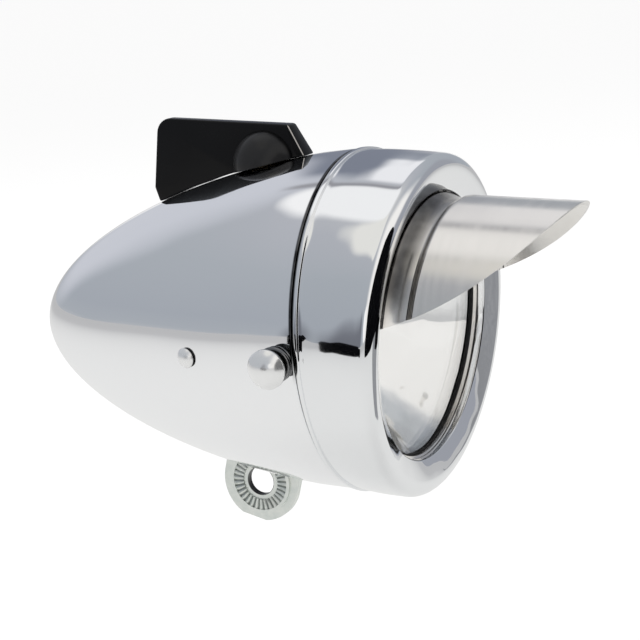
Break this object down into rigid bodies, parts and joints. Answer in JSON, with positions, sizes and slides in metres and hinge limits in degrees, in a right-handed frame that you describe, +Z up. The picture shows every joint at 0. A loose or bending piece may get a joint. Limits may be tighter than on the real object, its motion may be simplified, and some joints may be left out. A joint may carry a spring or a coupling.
{
  "type": "bicycle headlight",
  "caption": "Bullet-shaped bicycle headlight with a hooded lens, a wing switch on top, a side release button for its front ring and a serrated mounting tab below.",
  "frame": {"origin": "centre of the hole in the mounting tab, in the middle of the tab's thickness", "axes": "+X forward to the lens, +Y to the left along the hole's axis, +Z up"},
  "size_m": [0.1398, 0.0853, 0.099],
  "materials": {
    "shell_chrome": "polished chrome plate",
    "ring_chrome": "polished chrome plate",
    "visor_steel": "satin, brushed across",
    "tab_zinc": "zinc plated, pale yellow-green",
    "trim_chrome": "polished chrome plate",
    "spring_steel": "plain spring steel",
    "knob_plastic": "moulded, semi-gloss",
    "brass": "plain",
    "bulb_nickel": "nickel plated",
    "fibre_board": "pressed fibre board",
    "carrier_plastic": "moulded",
    "cartridge_plastic": "moulded",
    "cell_wrap": "plain film wrap",
    "gasket_rubber": "smooth",
    "lens_glass": "clear",
    "dish_chrome": "polished",
    "bulb_glass": "clear"
  },
  "bodies": {
    "body": {"rear_shell": "shell_chrome", "mount_tab": "tab_zinc", "latch_collar": "trim_chrome", "latch_rivet": "trim_chrome", "latch_spring": "spring_steel", "switch_bush": "brass", "switch_nut": "spring_steel", "switch_plate": "fibre_board", "switch_contacts": "brass", "battery_carrier": "carrier_plastic", "cartridge_frame": "cartridge_plastic", "battery_cells": "cell_wrap", "cell_contacts": "brass", "front_terminal": "brass", "rear_spring": "spring_steel"},
    "front": {"bezel_ring": "ring_chrome", "visor": "visor_steel", "lens_gasket": "gasket_rubber", "lens": "lens_glass", "reflector": "dish_chrome", "retaining_ring": "spring_steel", "bulb_socket": "brass", "socket_insulator": "fibre_board", "bulb_cap": "bulb_nickel", "bulb_glass": "bulb_glass"},
    "knob": {"switch_knob": "knob_plastic", "switch_spindle": "brass", "switch_wiper": "brass", "spindle_clip": "spring_steel", "wave_washer": "spring_steel"},
    "latch": {"latch_button": "trim_chrome", "latch_catch": "spring_steel"}
  },
  "joints": [
    {"name": "front_pull", "type": "slide", "parent": "body", "child": "front", "axis": [1, 0, 0], "range_m": [0, 0.03]},
    {"name": "switch_turn", "type": "hinge", "parent": "body", "child": "knob", "pos_m": [0.0102, 0, 0.07731], "axis": [-0.1868, 0, 0.9824], "range_deg": [0, 45]},
    {"name": "latch_press", "type": "slide", "parent": "body", "child": "latch", "axis": [0, 0.9994, 0.0349], "range_m": [0, 0.002], "stiffness_N_per_m": 800, "springref_m": -0.002, "deforming": ["latch_spring"]}
  ]
}
